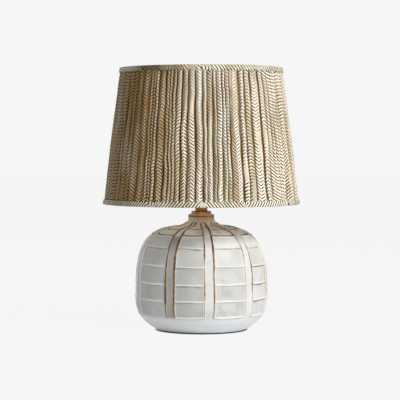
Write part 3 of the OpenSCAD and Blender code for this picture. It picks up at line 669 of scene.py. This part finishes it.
# Their depth with its limits, how uneven it is and what is left of it at the tapes, how far they sink in
# between the tapes, their creases, and where they lie flatter, in degrees to the right of the front
FOLD_DEPTH, DEPTH_LIMITS, DEPTH_WAVE, END_DEPTH = 5.2, (1.5, 5.4), 0.14, 0.55
SUNK, SUNK_WAVE, CREASE = 0.5, 0.7, 0.30
FLAT_AT, FLAT_HALF, FLATTER = -44, 18, 0.35

# The browner side of the cover, in turns from the back: its place, its reach before and after, and a
# fainter patch further on
BROWN_AT, BROWN_BEFORE, BROWN_AFTER = 0.38, 0.105, 0.085
PATCH_AT, PATCH_HALF, PATCH_TONE = 0.33, 0.09, 0.22

# The print and the weave, in metres
ARM_W, STRIPE, THREAD = 7.0 * MM, 5.9 * MM, 0.0007

# The tape's thickness, its reach outside and inside the shade's line, and how uneven it lies across and up
TAPE_T, TAPE_OUT, TAPE_IN, TAPE_COLUMNS = 0.8, 0.3, 10.1, 420
TAPE_ACROSS, TAPE_UP = 0.10, 0.07

# The lining's distance in from the shade's line, and the size of its pulls
LINING_IN, PULL, LINING_COLUMNS, LINING_ROWS = 9.45, 0.06, 360, 14

rng = np.random.default_rng(CLOTH_SEED)


def shade_r(z):
    """The radius of the shade's line, which runs straight between the two tapes."""
    up = (z - SHADE_Z - BINDING_H) / (SHADE_H - 2 * BINDING_H)
    return SHADE_BOTTOM_R + (SHADE_TOP_R - SHADE_BOTTOM_R) * up


def make_cover():
    """One gathered sheet: every fold has its own width, depth and lean, and wanders up the shade."""
    s = np.linspace(0, 1, FOLD_ROWS)
    t = (np.arange(FOLD_COLUMNS) / FOLD_COLUMNS)[None, :, None]
    z = COVER_LOW + (COVER_HIGH - COVER_LOW) * s
    pitch = TAU / FOLDS

    def by_fold(count, low, high):
        return waves((FOLDS,), s, count, low, high)

    width = np.clip(np.exp(FOLD_UNEVEN * rng.normal(size=FOLDS)), *WIDTH_LIMITS)
    width = width / width.sum() * TAU
    wander = sum(size * by_fold(count, low, high) for size, count, low, high in FOLD_WANDER)
    wander = wander + TOGETHER * (np.roll(wander, 1, 0) + np.roll(wander, -1, 0))
    wander = pitch * wander / 1.5
    start = (np.cumsum(width) - width)[:, None] + wander + BACK
    span = np.roll(start, -1, 0) - start
    span[-1] += TAU
    span = np.maximum(span, LEAST_SPAN * pitch)
    lean = LEAN * by_fold(2, 0.3, 1.6)[:, None, :]
    along = t - 0.07 * np.sin(TAU * t) + lean * np.sin(math.pi * t) ** 2
    theta = start[:, None, :] + span[:, None, :] * along

    side = np.degrees(start + span / 2)
    flat = np.exp(-((wrapped(side + 90) - FLAT_AT) / FLAT_HALF) ** 2)
    narrow = np.clip(span / pitch, 0.5, 1.5)
    depth = FOLD_DEPTH * (1 + DEPTH_WAVE * by_fold(3, 0.4, 3.5)) * narrow ** 0.25
    depth = np.clip(depth * (1 - FLATTER * flat), *DEPTH_LIMITS)
    ends = smoothstep(-0.5, 10, np.minimum(z - COVER_LOW, COVER_HIGH - z) - 4)
    depth = depth * (END_DEPTH + (1 - END_DEPTH) * ends)
    sunk = SUNK * (1 + SUNK_WAVE * by_fold(3, 0.4, 3.0)) * ends
    crease = CREASE * waves((FOLDS, FOLD_COLUMNS), s, 3, 0.8, 5.0)
    crease = (crease + np.roll(crease, 1, 1) + np.roll(crease, -1, 1)) / 3
    crown = 0.5 * (1 - np.cos(TAU * t))
    hollow = depth[:, None, :] * (1 - crown)
    r = shade_r(z) + BULGE * 4 * s * (1 - s) - sunk[:, None, :] - hollow
    r = r + crease * ends * (0.3 + 0.7 * crown)

    theta, r, hollow = (values.reshape(-1, FOLD_ROWS).T for values in (theta, r, hollow))
    points = turned(r, z[:, None], theta) * MM
    step = np.linalg.norm(np.roll(points, -1, 1) - points, axis=-1).mean(0)
    u = np.concatenate([[0], np.cumsum(step)])
    length = u[-1]
    u = u * round(length / (2 * ARM_W)) * 2 * ARM_W / length
    rise = math.hypot(COVER_HIGH - COVER_LOW, SHADE_BOTTOM_R - SHADE_TOP_R) * MM
    v = np.repeat(s[:, None] * rise, points.shape[1], 1)

    past = (theta - BACK) / TAU % 1 - BROWN_AT
    before, after = np.exp(-(past / BROWN_BEFORE) ** 2), np.exp(-np.abs(past / BROWN_AFTER) ** 3)
    patch = PATCH_TONE * np.exp(-((past - PATCH_AT) / PATCH_HALF) ** 2)
    brown_side = np.where(past < 0, before, after) + patch
    data = {"hollow": hollow, "brown_side": brown_side}
    return grid_mesh("shade_cover_gathered", points, uv=(u, v), attributes=data), length, rise


def cloth_frame(g):
    """The cloth's own coordinates in metres: both at once, then along it and up it."""
    uv = g.node("UVMap", uv_map="cloth").outputs[0]
    parts = g.node("SeparateXYZ", {0: uv})
    return uv, parts.outputs[0], parts.outputs[1]


def herringbone_print(g, uv, u, v, brown_side):
    """Where the stripes are inked, and the random number of each arm, which sets its slant and start."""
    wobble = g.noise(95.0, 2, 0.5, vector=uv)
    u = g.plus(u, g.times(g.minus(wobble, 0.5), 0.0034))
    arm = g.math("PINGPONG", u, ARM_W)
    index = g.math("FLOOR", g.math("DIVIDE", u, ARM_W))
    pick = g.node("TexWhiteNoise", {"W": index}, noise_dimensions="1D").outputs["Value"]
    drag = g.stretched_noise(uv, (36.0, 14.0, 3.0))
    slant = g.times(arm, g.span(pick, 0.80, 1.10))
    climb = g.plus(g.plus(v, slant), g.times(pick, 0.0040))
    climb = g.plus(climb, g.times(drag, 0.008))
    saw = g.math("PINGPONG", g.math("DIVIDE", climb, STRIPE), 0.5)
    ragged = g.times(g.minus(g.noise(300.0, 2, 0.6, vector=uv), 0.5), 0.16)
    swell = g.times(brown_side, 0.07)
    ink = g.minus(1.0, g.ramp(g.minus(g.plus(saw, ragged), swell), 0.17, 0.26))
    spine = g.math("MINIMUM", arm, g.minus(ARM_W, arm))
    return g.times(ink, g.ramp(spine, 0.0, 0.0006)), pick


def herringbone_cloth():
    """Cream cloth with a dark herringbone print, plain and tinted stretches, a browner side, and painted
    shade in the folds.
    """
    g = Graph("herringbone_cloth")
    uv, u, v = cloth_frame(g)
    hollow = g.attribute("hollow")
    dye = g.stretched_noise(uv, (26.0, 7.0, 9.0), 2)
    brown_side = g.times(g.attribute("brown_side"), g.span(g.ramp(dye, 0.36, 0.56), 0.72, 1.08))
    ink, pick = herringbone_print(g, uv, u, v, brown_side)
    plain = g.ramp(g.stretched_noise(uv, (72.0, 13.0, 1.0), 2), 0.585, 0.65)
    ink = g.times(ink, g.minus(1.0, g.times(plain, 0.9)))
    tint = g.stretched_noise(uv, (38.0, 5.0, 1.0))
    cream = g.mix(g.ramp(tint, 0.40, 0.60), (0.97, 0.935, 0.83), (0.93, 0.86, 0.745))
    other = g.stretched_noise(uv, (47.0, 9.0, 2.0))
    ground = g.mix(g.ramp(other, 0.54, 0.64), cream, (0.66, 0.63, 0.46))
    ground = g.lay(ground, g.ramp(pick, 0.84, 0.88), 0.7, (0.52, 0.38, 0.24))
    plain_color = g.mix(g.ramp(other, 0.45, 0.53), (0.80, 0.66, 0.55), (0.52, 0.52, 0.38))
    ground = g.lay(ground, plain, 0.85, plain_color)
    ground = g.lay(ground, brown_side, 0.85, (0.47, 0.31, 0.13))
    ground = g.lay(ground, brown_side, plain, (0.27, 0.155, 0.065))
    # Painted shade: the ground is darker and browner deep in the folds
    ground = g.lay(ground, g.ramp(hollow, 2.4, 4.6), 0.7, (0.38, 0.24, 0.09))
    # Painted shadow: soft brown patches stand for the shadows of folds
    fold_shadow_patches = g.ramp(g.stretched_noise(uv, (17.0, 8.0, 5.0), 2), 0.52, 0.70)
    ground = g.lay(ground, fold_shadow_patches, 0.32, (0.42, 0.29, 0.13))
    dark = g.mix(g.ramp(tint, 0.3, 0.7), (0.088, 0.041, 0.003), (0.058, 0.026, 0.002))
    color = g.lay(ground, ink, 0.97, dark)
    # Painted shade: dark brown lines deep in the folds, stronger in some than in others
    valley_shade = g.span(g.ramp(g.stretched_noise(uv, (45.0, 5.0, 7.0)), 0.38, 0.60), 0.45, 0.95)
    color = g.lay(color, g.ramp(hollow, 2.6, 4.6), valley_shade, (0.085, 0.040, 0.004))
    nap = g.plus(g.weave(u, v, THREAD), g.noise(900.0, 2, 0.6, vector=uv))
    return g.surface(color, 0.88, g.bump(nap, 0.00012, 0.3), Specular_IOR_Level=0.04)


cover_mesh, cover_length, cover_rise = make_cover()
cover = piece("shade_cover_gathered", cover_mesh, herringbone_cloth(), "shade", "cover", "shade_cover")


def tape_outline(lip):
    """The folded tape's section, from its outer edge round the shade's edge to its inner edge."""
    outline = []
    for h in np.linspace(BINDING_H, 1.6, 7):
        belly = 0.7 * math.sin(math.pi * (BINDING_H - h) / (BINDING_H - 0.2))
        flare = lip * (1 - smoothstep(0, BINDING_H, h))
        outline.append((TAPE_OUT + TAPE_T + belly + flare, h))
    out, inn = TAPE_OUT + lip, -TAPE_IN - TAPE_T
    return outline + [(out + TAPE_T + 0.3, 0.9), (out + TAPE_T - 0.4, 0.25), (out - 0.8, 0.0), (-3, 0.05),
                      (-7, 0.05), (-TAPE_IN, 0.1), (inn - 0.3, 0.7), (inn - 0.4, 2.0), (inn - 0.2, 5.0),
                      (inn, BINDING_H)]


def make_binding(name, edge_z, side, lip):
    """Tape folded over an edge of the shade, a little uneven, and its length."""
    turn = np.linspace(0, TAU, TAPE_COLUMNS, endpoint=False) + BACK
    uneven = np.zeros(TAPE_COLUMNS)
    rise = np.zeros(TAPE_COLUMNS)
    for k in range(3, 60):
        uneven += rng.normal(0, 1) * np.cos(k * turn + rng.uniform(0, TAU)) / math.sqrt(k)
        rise += rng.normal(0, 1) * np.cos(k * turn + rng.uniform(0, TAU)) / math.sqrt(k)
    uneven *= TAPE_ACROSS
    rise *= TAPE_UP
    points = []
    for offset, h in tape_outline(lip):
        r = shade_r(edge_z + side * max(h, 1.0)) + offset + uneven * (1.0 if offset > 0 else 0.5)
        points.append(turned(r, edge_z + side * h + rise * h / BINDING_H, turn))
    points = np.array(points) * MM
    run = path_lengths(points[:, 0])
    if side < 0:
        points, run = points[::-1], run[::-1]
    length = TAU * shade_r(edge_z) * MM
    u = np.linspace(0, length, TAPE_COLUMNS + 1)
    v = np.repeat(run[:, None], TAPE_COLUMNS, 1)
    return grid_mesh(name, points, uv=(u, v)), length


def tape_cloth(name, front, patches):
    """Bias tape with slanting stripes. A patch is (place from the front, half length, colour, strength)."""
    g = Graph(name)
    uv, u, v = cloth_frame(g)
    zigzag = g.math("SINE", g.times(g.noise(6.0, 1, 0.5, vector=uv), 30.0))
    lean = g.map_range(zigzag, -0.2, 0.2, -0.8, 0.8)
    ragged = g.times(g.minus(g.noise(260.0, 2, 0.5, vector=uv), 0.5), 0.0012)
    phase = g.math("DIVIDE", g.plus(g.plus(u, ragged), g.times(v, lean)), STRIPE)
    ink = g.minus(1.0, g.ramp(g.math("PINGPONG", phase, 0.5), 0.20, 0.30))
    tint = g.ramp(g.noise(22.0, 2, 0.5, vector=uv), 0.45, 0.62)
    ground = g.mix(tint, (0.96, 0.90, 0.75), (0.70, 0.65, 0.47))
    color = g.lay(ground, ink, 0.97, (0.050, 0.031, 0.010))
    for place, half, patch_color, strength in patches:
        away = g.math("ABSOLUTE", g.minus(u, front + place))
        patch = g.minus(1.0, g.ramp(away, half * 0.8, half))
        color = g.lay(color, patch, strength, patch_color)
    return g.surface(color, 0.85, g.bump(g.weave(u, v, THREAD), 0.00012, 0.5), Specular_IOR_Level=0.04)


# A seam on the lower tape, and on the upper one two darker stretches left of the front and two seams
LOW_PATCHES = [(0.003, 0.006, (0.66, 0.68, 0.55), 0.85)]
TOP_PATCHES = [
    (-0.080, 0.055, (0.17, 0.13, 0.065), 0.55),
    (-0.095, 0.022, (0.09, 0.080, 0.040), 0.6),
    (-0.017, 0.008, (0.50, 0.38, 0.27), 0.8),
    (0.11, 0.009, (0.45, 0.46, 0.34), 0.85),
]
low_mesh, low_length = make_binding("bottom_binding_tape", SHADE_Z, 1, 0.9)
low_tape = tape_cloth("tape_low", low_length / 2, LOW_PATCHES)
low_binding = piece("bottom_binding_tape", low_mesh, low_tape, "shade", "tape", "bottom_binding")
top_mesh, top_length = make_binding("top_binding_tape", SHADE_Z + SHADE_H, -1, 0.0)
top_tape = tape_cloth("tape_top", top_length / 2, TOP_PATCHES)
top_binding = piece("top_binding_tape", top_mesh, top_tape, "shade", "tape", "top_binding")


def make_lining():
    """A smooth sheet inside the frame, with faint upright pulls."""
    turn = np.linspace(0, TAU, LINING_COLUMNS, endpoint=False) + BACK
    z = np.linspace(COVER_LOW + 0.2, COVER_HIGH - 0.2, LINING_ROWS)[:, None]
    pull = np.zeros(LINING_COLUMNS)
    for k in range(20, 90, 3):
        pull += rng.normal() * np.cos(k * turn + rng.uniform(0, TAU))
    points = turned(shade_r(z) - LINING_IN + PULL * pull, z, turn)
    u = np.linspace(0, TAU * (SHADE_BOTTOM_R - LINING_IN) * MM, LINING_COLUMNS + 1)
    v = np.repeat((z - z[0]) * MM, LINING_COLUMNS, 1)
    return grid_mesh("shade_lining_cotton", points * MM, uv=(u, v))


def cotton():
    """Pale plain weave with thicker threads here and there."""
    g = Graph("lining_cotton")
    uv, u, v = cloth_frame(g)
    weave = g.weave(u, v, 0.0008)
    slub = g.stretched_noise(uv, (900.0, 60.0, 1.0), 3, 0.6)
    color = g.mix(g.ramp(slub, 0.35, 0.7), (0.78, 0.74, 0.65), (0.86, 0.83, 0.75))
    return g.surface(color, 0.9, g.bump(g.plus(weave, slub), 0.00012, 0.5), Specular_IOR_Level=0.15)


lining = piece("shade_lining_cotton", make_lining(), cotton(), "shade", "lining", "shade_lining")


# Felt under the foot, a hair clear of the ceramic, with a fuzzy edge

FELT_R, FELT_TOP, FUZZ, FELT_COLUMNS = 80.0, FELT_T - 0.02, 0.12, 240


def make_felt():
    """A thin disc with a rounded edge."""
    turn = np.linspace(0, TAU, FELT_COLUMNS, endpoint=False)
    fuzz = FUZZ * waves((), turn / TAU, 4, 20, 60)
    top = [(0.01, FELT_TOP), (60, FELT_TOP)]
    edge = [(FELT_R - 0.8, FELT_TOP), (FELT_R - 0.1, 1.7), (FELT_R, 1.0), (FELT_R - 0.1, 0.3),
            (FELT_R - 0.8, 0.0)]
    points = lathe(top + edge + [(60, 0.0), (30, 0.0), (0.01, 0.0)], turn)
    points[len(top):len(top) + len(edge)] += turned(fuzz, 0.0, turn)
    return grid_mesh("felt_pad_cut", points * MM, closed_rows=True)


def felt():
    """Dark green felt with a rough nap."""
    g = Graph("felt")
    tone = g.noise(600.0, 4, 0.7)
    color = g.mix(g.ramp(tone, 0.35, 0.65), (0.045, 0.05, 0.03), (0.10, 0.105, 0.07))
    return g.surface(color, 0.95, g.bump(tone, 0.0004, 0.6), Specular_IOR_Level=0.1, Sheen_Weight=0.3)


felt_disc = piece("felt_pad_cut", make_felt(), felt(), "base", "felt", "felt_pad")


# Materials for the CAD pieces

def metal(name, low, high, rough, spots=None):
    """Metal with cloudy tone, fine brushed grain and, where given, darker spots in it."""
    g = Graph(name)
    cloud = g.noise(60.0, 3, 0.6)
    color = g.mix(g.ramp(cloud, 0.35, 0.65), low, high)
    if spots is not None:
        color = g.lay(color, g.ramp(g.noise(210.0, 3, 0.6), 0.55, 0.68), 0.6, spots)
    grain = g.stretched_noise(g.coords, (500.0, 500.0, 2000.0), 2, 0.6)
    roughness = g.plus(rough, g.times(grain, 0.15))
    return g.surface(color, roughness, g.bump(grain, 0.00008, 0.3), Metallic=1.0)


def solid(name, low, high, rough, depth=0.0001, **settings):
    """A plain moulded, fired or painted surface with a faint mottle."""
    g = Graph(name)
    cloud = g.noise(90.0, 3, 0.6)
    fine = g.noise(720.0, 2, 0.5)
    color = g.mix(g.ramp(cloud, 0.35, 0.65), low, high)
    roughness = g.span(fine, rough, rough + 0.12)
    return g.surface(color, roughness, g.bump(fine, depth, 0.4), **settings)


antique = metal("antique_brass", (0.26, 0.115, 0.036), (0.52, 0.26, 0.088), rough=0.30,
                spots=(0.13, 0.055, 0.02))
steel = metal("zinc_steel", (0.55, 0.55, 0.54), (0.68, 0.68, 0.67), rough=0.35)
black_steel = metal("dark_steel", (0.10, 0.10, 0.10), (0.18, 0.18, 0.18), rough=0.35)
bright_brass = metal("contact_brass", (0.72, 0.50, 0.20), (0.80, 0.60, 0.27), rough=0.22)
nickel = metal("nickel", (0.62, 0.60, 0.56), (0.72, 0.70, 0.66), rough=0.20)
wire = solid("painted_wire", (0.70, 0.69, 0.66), (0.80, 0.79, 0.76), rough=0.35)
pale = solid("pale_plastic", (0.72, 0.68, 0.58), (0.78, 0.74, 0.65), rough=0.40)
ceramic = solid("porcelain", (0.78, 0.77, 0.74), (0.86, 0.85, 0.82), rough=0.18, Specular_IOR_Level=0.55)
dark = solid("dark_plastic", (0.03, 0.03, 0.032), (0.05, 0.05, 0.052), rough=0.38)
opal = solid("opal_glass", (0.84, 0.84, 0.82), (0.90, 0.90, 0.88), rough=0.10, depth=0.00002,
             Coat_Weight=0.5)
bead = solid("black_glass", (0.012, 0.012, 0.014), (0.025, 0.025, 0.03), rough=0.12)

looks = {
    antique: ["neck_cap", "neck_collar", "lampholder_cup", "lampholder_skirt", "shade_washer", "shade_ring",
              "switch_bar"],
    steel: ["clamp_plate", "clamp_nut", "threaded_rod", "terminal_screws"],
    black_steel: ["spring_washer", "cup_screw"],
    bright_brass: ["screw_shell", "centre_contact", "terminals"],
    nickel: ["bulb_cap", "bulb_contact"],
    wire: ["fitter", "shade_top_ring", "shade_bottom_ring", "shade_struts"],
    pale: ["cord_bush"],
    ceramic: ["contact_carrier"],
    dark: ["switch_block"],
    opal: ["bulb_glass"],
    bead: ["bulb_insulator"],
}
for material, names in looks.items():
    for name in names:
        slots = nodes[name].data.materials
        slots.clear()
        slots.append(material)
